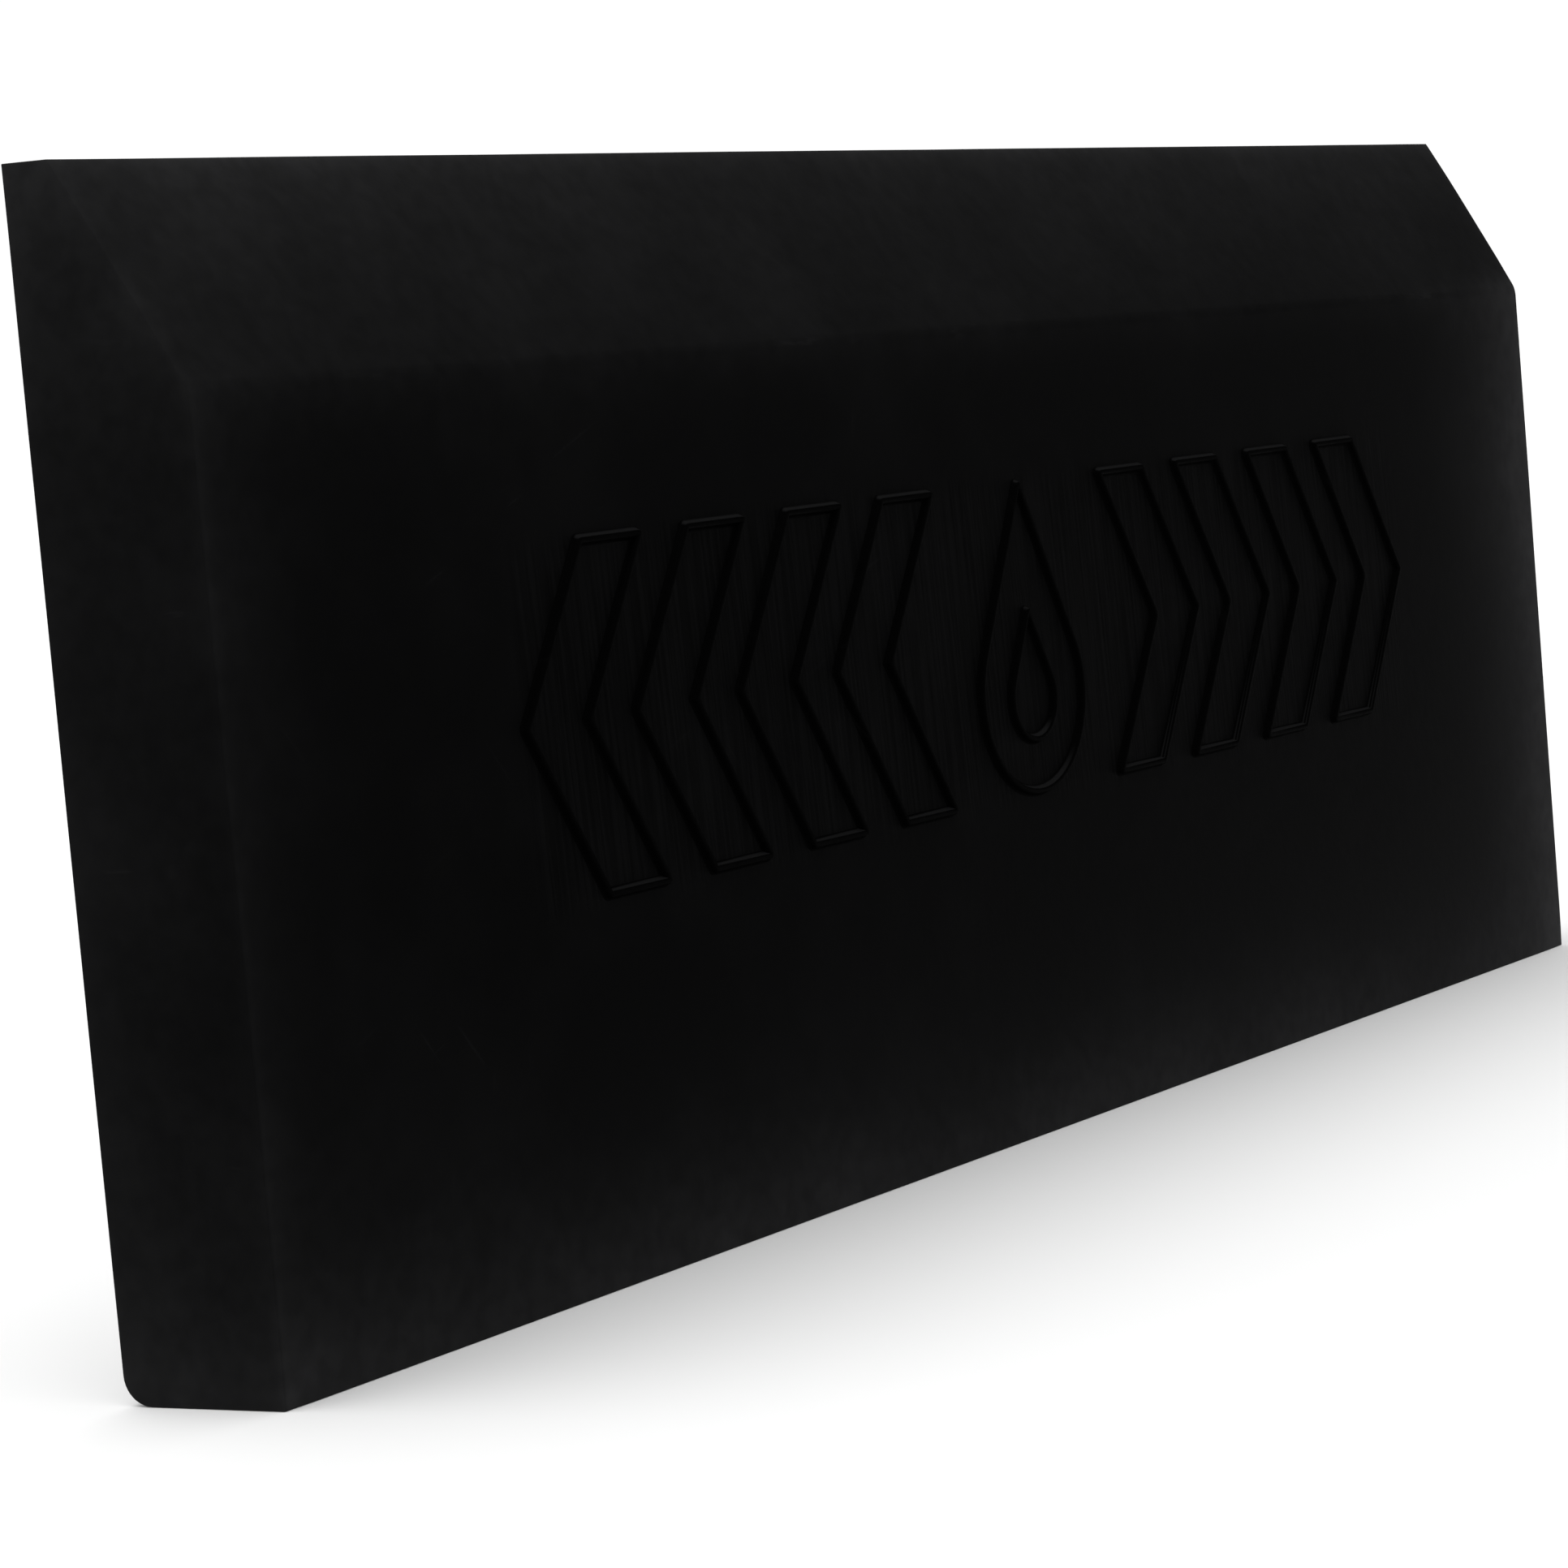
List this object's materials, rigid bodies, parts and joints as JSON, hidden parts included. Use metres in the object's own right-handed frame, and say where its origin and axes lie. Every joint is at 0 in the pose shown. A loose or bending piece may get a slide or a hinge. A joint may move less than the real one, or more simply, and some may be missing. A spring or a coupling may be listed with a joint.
{
  "type": "squeegee blade",
  "caption": "Flat rectangular hand squeegee blade with one long edge bevelled to a thin nose and a raised row of drop and chevron outlines on its front face.",
  "frame": {"origin": "bottom centre of the whole blade, raised mark included, as it stands on its thick long edge", "axes": "+X along the blade, +Y from the marked front face to the plain back face, +Z from the thick edge up to the thin nose"},
  "size_m": [0.127, 0.0082, 0.0508],
  "materials": {
    "polyurethane": "satin cast skin, faintly mottled, with fine rub marks"
  },
  "bodies": {
    "root": {"blade_body": "polyurethane", "drop_outer": "polyurethane", "drop_inner": "polyurethane", "chevron_left_1": "polyurethane", "chevron_left_2": "polyurethane", "chevron_left_3": "polyurethane", "chevron_left_4": "polyurethane", "chevron_right_1": "polyurethane", "chevron_right_2": "polyurethane", "chevron_right_3": "polyurethane", "chevron_right_4": "polyurethane"}
  },
  "joints": []
}
